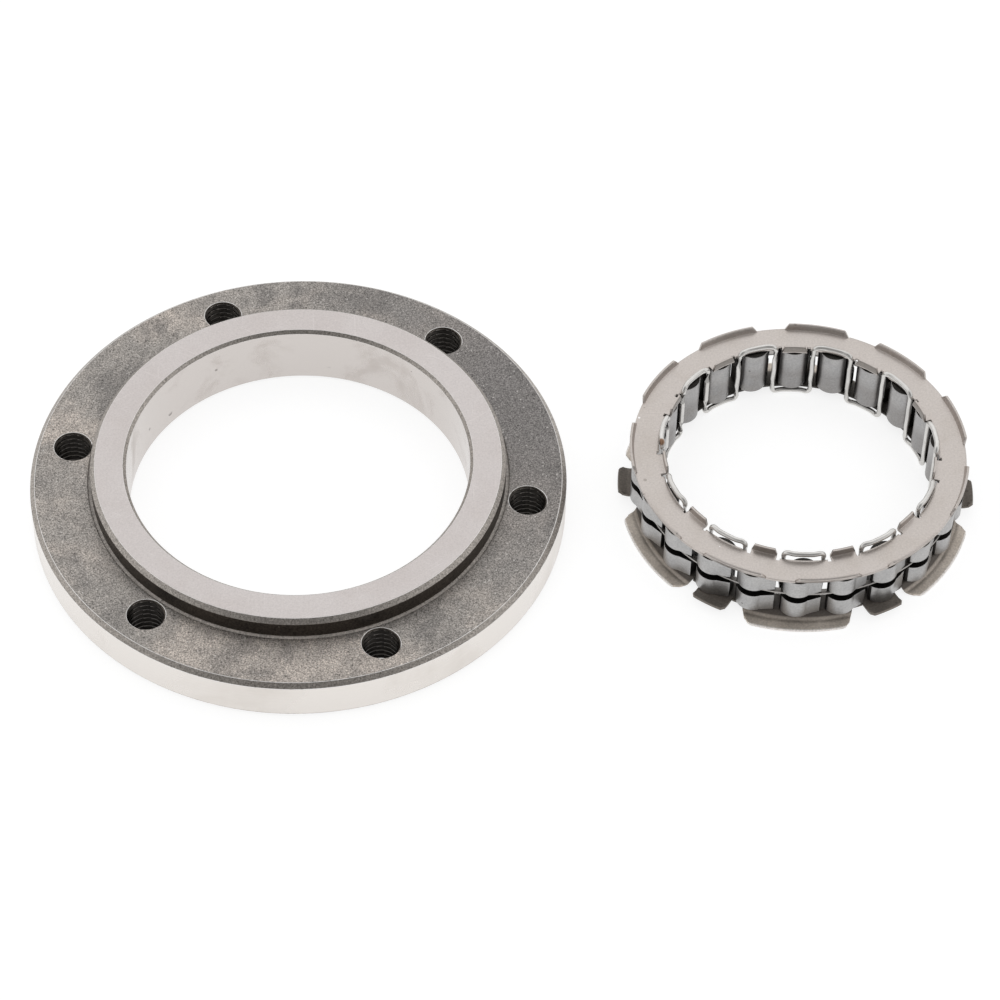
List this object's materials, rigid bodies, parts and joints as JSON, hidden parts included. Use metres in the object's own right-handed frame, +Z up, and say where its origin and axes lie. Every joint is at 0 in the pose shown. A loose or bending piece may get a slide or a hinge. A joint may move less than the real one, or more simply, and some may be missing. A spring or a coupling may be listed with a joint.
{
  "type": "starter clutch",
  "caption": "One-way starter clutch laid out in two sets: a flanged outer race with threaded holes, and its sprag cage standing beside it.",
  "frame": {"origin": "on the outer race's axis, in the plane of its base face, which is the floor that both sets stand on", "axes": "+Z up along the outer race's axis, from its base face towards its collar; +X towards the sprag cage; the picture looks along +Y from above"},
  "size_m": [0.1839, 0.104, 0.0145],
  "materials": {
    "race_steel": "hardened steel, matt oxide on the flange, ground collar and bore",
    "ring_sheet": "pressed steel sheet, satin",
    "flange_sheet": "pressed steel sheet, satin",
    "spring_wire": "bright drawn spring wire",
    "hoop_steel": "satin spring steel",
    "sprag_steel": "fine ground and tumbled hardened steel"
  },
  "bodies": {
    "race": {"outer_race": "race_steel"},
    "cage": {"top_ring": "ring_sheet", "bottom_ring": "flange_sheet", "meander_spring": "spring_wire", "retaining_hoop": "hoop_steel"},
    "sprag_01": {"sprag_01": "sprag_steel"},
    "sprag_02": {"sprag_02": "sprag_steel"},
    "sprag_03": {"sprag_03": "sprag_steel"},
    "sprag_04": {"sprag_04": "sprag_steel"},
    "sprag_05": {"sprag_05": "sprag_steel"},
    "sprag_06": {"sprag_06": "sprag_steel"},
    "sprag_07": {"sprag_07": "sprag_steel"},
    "sprag_08": {"sprag_08": "sprag_steel"},
    "sprag_09": {"sprag_09": "sprag_steel"},
    "sprag_10": {"sprag_10": "sprag_steel"},
    "sprag_11": {"sprag_11": "sprag_steel"},
    "sprag_12": {"sprag_12": "sprag_steel"},
    "sprag_13": {"sprag_13": "sprag_steel"},
    "sprag_14": {"sprag_14": "sprag_steel"},
    "sprag_15": {"sprag_15": "sprag_steel"},
    "sprag_16": {"sprag_16": "sprag_steel"},
    "sprag_17": {"sprag_17": "sprag_steel"},
    "sprag_18": {"sprag_18": "sprag_steel"},
    "sprag_19": {"sprag_19": "sprag_steel"},
    "sprag_20": {"sprag_20": "sprag_steel"},
    "sprag_21": {"sprag_21": "sprag_steel"},
    "sprag_22": {"sprag_22": "sprag_steel"}
  },
  "joints": [
    {"name": "cage_spin", "type": "hinge", "parent": "race", "child": "cage", "pos_m": [0.097, 0.0054, 0.007], "axis": [0, 0, 1], "continuous": true},
    {"name": "sprag_01_rock", "type": "hinge", "parent": "cage", "child": "sprag_01", "pos_m": [0.097, -0.0239, 0.007], "axis": [0, 0, 1], "range_deg": [-4, 8], "stiffness_Nm_per_rad": 0.0005},
    {"name": "sprag_02_rock", "type": "hinge", "parent": "cage", "child": "sprag_02", "pos_m": [0.10526, -0.02271, 0.007], "axis": [0, 0, 1], "range_deg": [-4, 8], "stiffness_Nm_per_rad": 0.0005},
    {"name": "sprag_03_rock", "type": "hinge", "parent": "cage", "child": "sprag_03", "pos_m": [0.11284, -0.01925, 0.007], "axis": [0, 0, 1], "range_deg": [-4, 8], "stiffness_Nm_per_rad": 0.0005},
    {"name": "sprag_04_rock", "type": "hinge", "parent": "cage", "child": "sprag_04", "pos_m": [0.11914, -0.01379, 0.007], "axis": [0, 0, 1], "range_deg": [-4, 8], "stiffness_Nm_per_rad": 0.0005},
    {"name": "sprag_05_rock", "type": "hinge", "parent": "cage", "child": "sprag_05", "pos_m": [0.12365, -0.00677, 0.007], "axis": [0, 0, 1], "range_deg": [-4, 8], "stiffness_Nm_per_rad": 0.0005},
    {"name": "sprag_06_rock", "type": "hinge", "parent": "cage", "child": "sprag_06", "pos_m": [0.126, 0.00123, 0.007], "axis": [0, 0, 1], "range_deg": [-4, 8], "stiffness_Nm_per_rad": 0.0005},
    {"name": "sprag_07_rock", "type": "hinge", "parent": "cage", "child": "sprag_07", "pos_m": [0.126, 0.00957, 0.007], "axis": [0, 0, 1], "range_deg": [-4, 8], "stiffness_Nm_per_rad": 0.0005},
    {"name": "sprag_08_rock", "type": "hinge", "parent": "cage", "child": "sprag_08", "pos_m": [0.12365, 0.01757, 0.007], "axis": [0, 0, 1], "range_deg": [-4, 8], "stiffness_Nm_per_rad": 0.0005},
    {"name": "sprag_09_rock", "type": "hinge", "parent": "cage", "child": "sprag_09", "pos_m": [0.11914, 0.02459, 0.007], "axis": [0, 0, 1], "range_deg": [-4, 8], "stiffness_Nm_per_rad": 0.0005},
    {"name": "sprag_10_rock", "type": "hinge", "parent": "cage", "child": "sprag_10", "pos_m": [0.11284, 0.03005, 0.007], "axis": [0, 0, 1], "range_deg": [-4, 8], "stiffness_Nm_per_rad": 0.0005},
    {"name": "sprag_11_rock", "type": "hinge", "parent": "cage", "child": "sprag_11", "pos_m": [0.10526, 0.03351, 0.007], "axis": [0, 0, 1], "range_deg": [-4, 8], "stiffness_Nm_per_rad": 0.0005},
    {"name": "sprag_12_rock", "type": "hinge", "parent": "cage", "child": "sprag_12", "pos_m": [0.097, 0.0347, 0.007], "axis": [0, 0, 1], "range_deg": [-4, 8], "stiffness_Nm_per_rad": 0.0005},
    {"name": "sprag_13_rock", "type": "hinge", "parent": "cage", "child": "sprag_13", "pos_m": [0.08875, 0.03351, 0.007], "axis": [0, 0, 1], "range_deg": [-4, 8], "stiffness_Nm_per_rad": 0.0005},
    {"name": "sprag_14_rock", "type": "hinge", "parent": "cage", "child": "sprag_14", "pos_m": [0.08116, 0.03005, 0.007], "axis": [0, 0, 1], "range_deg": [-4, 8], "stiffness_Nm_per_rad": 0.0005},
    {"name": "sprag_15_rock", "type": "hinge", "parent": "cage", "child": "sprag_15", "pos_m": [0.07486, 0.02459, 0.007], "axis": [0, 0, 1], "range_deg": [-4, 8], "stiffness_Nm_per_rad": 0.0005},
    {"name": "sprag_16_rock", "type": "hinge", "parent": "cage", "child": "sprag_16", "pos_m": [0.07035, 0.01757, 0.007], "axis": [0, 0, 1], "range_deg": [-4, 8], "stiffness_Nm_per_rad": 0.0005},
    {"name": "sprag_17_rock", "type": "hinge", "parent": "cage", "child": "sprag_17", "pos_m": [0.068, 0.00957, 0.007], "axis": [0, 0, 1], "range_deg": [-4, 8], "stiffness_Nm_per_rad": 0.0005},
    {"name": "sprag_18_rock", "type": "hinge", "parent": "cage", "child": "sprag_18", "pos_m": [0.068, 0.00123, 0.007], "axis": [0, 0, 1], "range_deg": [-4, 8], "stiffness_Nm_per_rad": 0.0005},
    {"name": "sprag_19_rock", "type": "hinge", "parent": "cage", "child": "sprag_19", "pos_m": [0.07035, -0.00677, 0.007], "axis": [0, 0, 1], "range_deg": [-4, 8], "stiffness_Nm_per_rad": 0.0005},
    {"name": "sprag_20_rock", "type": "hinge", "parent": "cage", "child": "sprag_20", "pos_m": [0.07486, -0.01379, 0.007], "axis": [0, 0, 1], "range_deg": [-4, 8], "stiffness_Nm_per_rad": 0.0005},
    {"name": "sprag_21_rock", "type": "hinge", "parent": "cage", "child": "sprag_21", "pos_m": [0.08116, -0.01925, 0.007], "axis": [0, 0, 1], "range_deg": [-4, 8], "stiffness_Nm_per_rad": 0.0005},
    {"name": "sprag_22_rock", "type": "hinge", "parent": "cage", "child": "sprag_22", "pos_m": [0.08875, -0.02271, 0.007], "axis": [0, 0, 1], "range_deg": [-4, 8], "stiffness_Nm_per_rad": 0.0005}
  ],
  "couplings": [
    {"joint": "sprag_02_rock", "follows": "sprag_01_rock", "ratio": 1},
    {"joint": "sprag_03_rock", "follows": "sprag_01_rock", "ratio": 1},
    {"joint": "sprag_04_rock", "follows": "sprag_01_rock", "ratio": 1},
    {"joint": "sprag_05_rock", "follows": "sprag_01_rock", "ratio": 1},
    {"joint": "sprag_06_rock", "follows": "sprag_01_rock", "ratio": 1},
    {"joint": "sprag_07_rock", "follows": "sprag_01_rock", "ratio": 1},
    {"joint": "sprag_08_rock", "follows": "sprag_01_rock", "ratio": 1},
    {"joint": "sprag_09_rock", "follows": "sprag_01_rock", "ratio": 1},
    {"joint": "sprag_10_rock", "follows": "sprag_01_rock", "ratio": 1},
    {"joint": "sprag_11_rock", "follows": "sprag_01_rock", "ratio": 1},
    {"joint": "sprag_12_rock", "follows": "sprag_01_rock", "ratio": 1},
    {"joint": "sprag_13_rock", "follows": "sprag_01_rock", "ratio": 1},
    {"joint": "sprag_14_rock", "follows": "sprag_01_rock", "ratio": 1},
    {"joint": "sprag_15_rock", "follows": "sprag_01_rock", "ratio": 1},
    {"joint": "sprag_16_rock", "follows": "sprag_01_rock", "ratio": 1},
    {"joint": "sprag_17_rock", "follows": "sprag_01_rock", "ratio": 1},
    {"joint": "sprag_18_rock", "follows": "sprag_01_rock", "ratio": 1},
    {"joint": "sprag_19_rock", "follows": "sprag_01_rock", "ratio": 1},
    {"joint": "sprag_20_rock", "follows": "sprag_01_rock", "ratio": 1},
    {"joint": "sprag_21_rock", "follows": "sprag_01_rock", "ratio": 1},
    {"joint": "sprag_22_rock", "follows": "sprag_01_rock", "ratio": 1}
  ]
}
